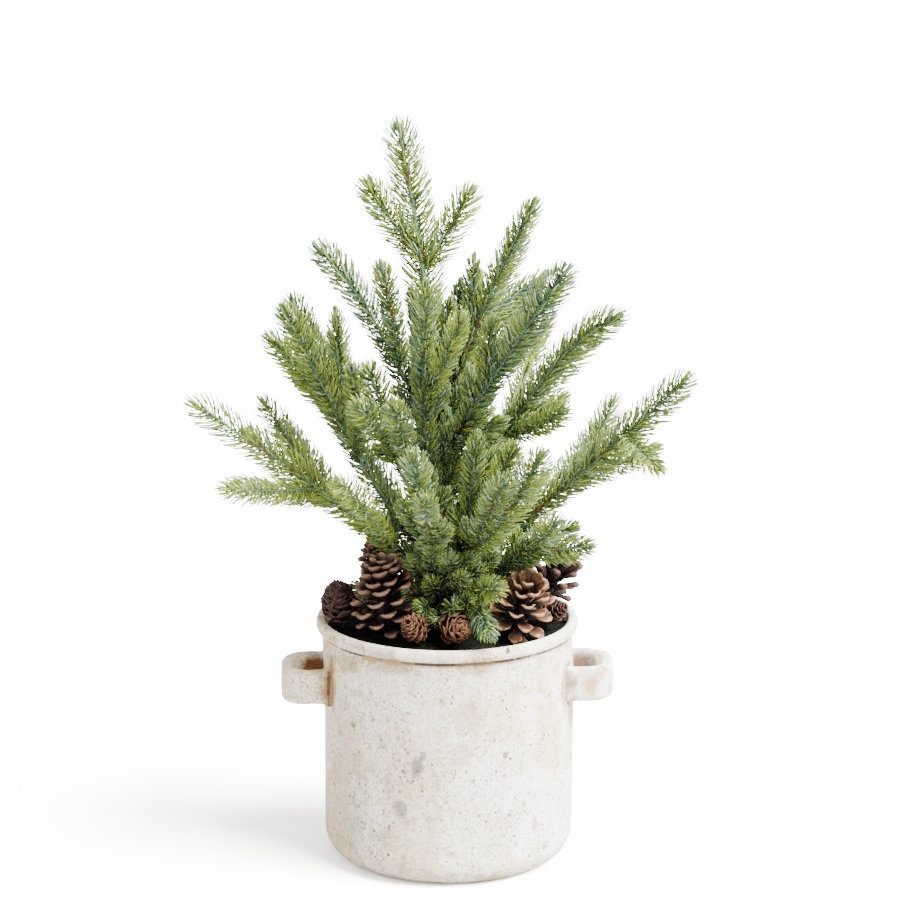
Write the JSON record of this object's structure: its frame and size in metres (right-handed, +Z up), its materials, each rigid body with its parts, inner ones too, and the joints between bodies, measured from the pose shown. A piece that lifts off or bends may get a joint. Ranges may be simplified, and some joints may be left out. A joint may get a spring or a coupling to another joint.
{
  "type": "artificial potted pine tree",
  "caption": "Tabletop artificial pine tree with upturned sprigs, standing in a weathered round stoneware crock with loop handles, with moss and pine cones at its foot.",
  "frame": {"origin": "centre of the flat underside of the pot, where it stands", "axes": "+Z up along the height of the tree, +X towards the right handle, -Y towards the front of the tree"},
  "size_m": [0.3455, 0.2681, 0.517],
  "materials": {
    "stone": "distressed off-white stoneware with pits and stains",
    "moss": "dark moss over a foam filling",
    "bark": "brown textured wrap over wire",
    "needle": "moulded needles, yellow-green to blue-green",
    "cone": "dry brown pine cones"
  },
  "bodies": {
    "root": {"pot": "stone", "handle_left": "stone", "handle_right": "stone", "moss_bed": "moss", "trunk": "bark", "bough_right_top": "bark", "bough_right_front": "bark", "bough_right_upper": "bark", "bough_front_upper": "bark", "bough_left_top": "bark", "bough_left_upper": "bark", "bough_left_front": "bark", "bough_left_low": "bark", "bough_front_middle": "bark", "bough_front_low": "bark", "bough_right_low": "bark", "bough_right_middle": "bark", "bough_right_foot": "bark", "bough_front_foot": "bark", "bough_back_top": "bark", "bough_back_right": "bark", "bough_back_right_low": "bark", "bough_back_middle": "bark", "bough_back_low": "bark", "bough_back_left": "bark", "bough_back_left_low": "bark", "mass_leader": "needle", "mass_right_top": "needle", "mass_right_front": "needle", "mass_right_upper": "needle", "mass_front_upper": "needle", "mass_left_top": "needle", "mass_left_upper": "needle", "mass_left_front": "needle", "mass_left_low": "needle", "mass_front_middle": "needle", "mass_front_low": "needle", "mass_right_low": "needle", "mass_right_middle": "needle", "mass_right_foot": "needle", "mass_front_foot": "needle", "mass_back_top": "needle", "mass_back_right": "needle", "mass_back_right_low": "needle", "mass_back_middle": "needle", "mass_back_low": "needle", "mass_back_left": "needle", "mass_back_left_low": "needle", "cone_round": "cone", "cone_tall": "cone", "cone_behind": "cone", "cone_small_left": "cone", "cone_small_right": "cone", "cone_open": "cone", "cone_edge": "cone", "cone_shadow": "cone", "cone_back_left": "cone", "cone_back": "cone", "cone_back_right": "cone"}
  },
  "joints": []
}
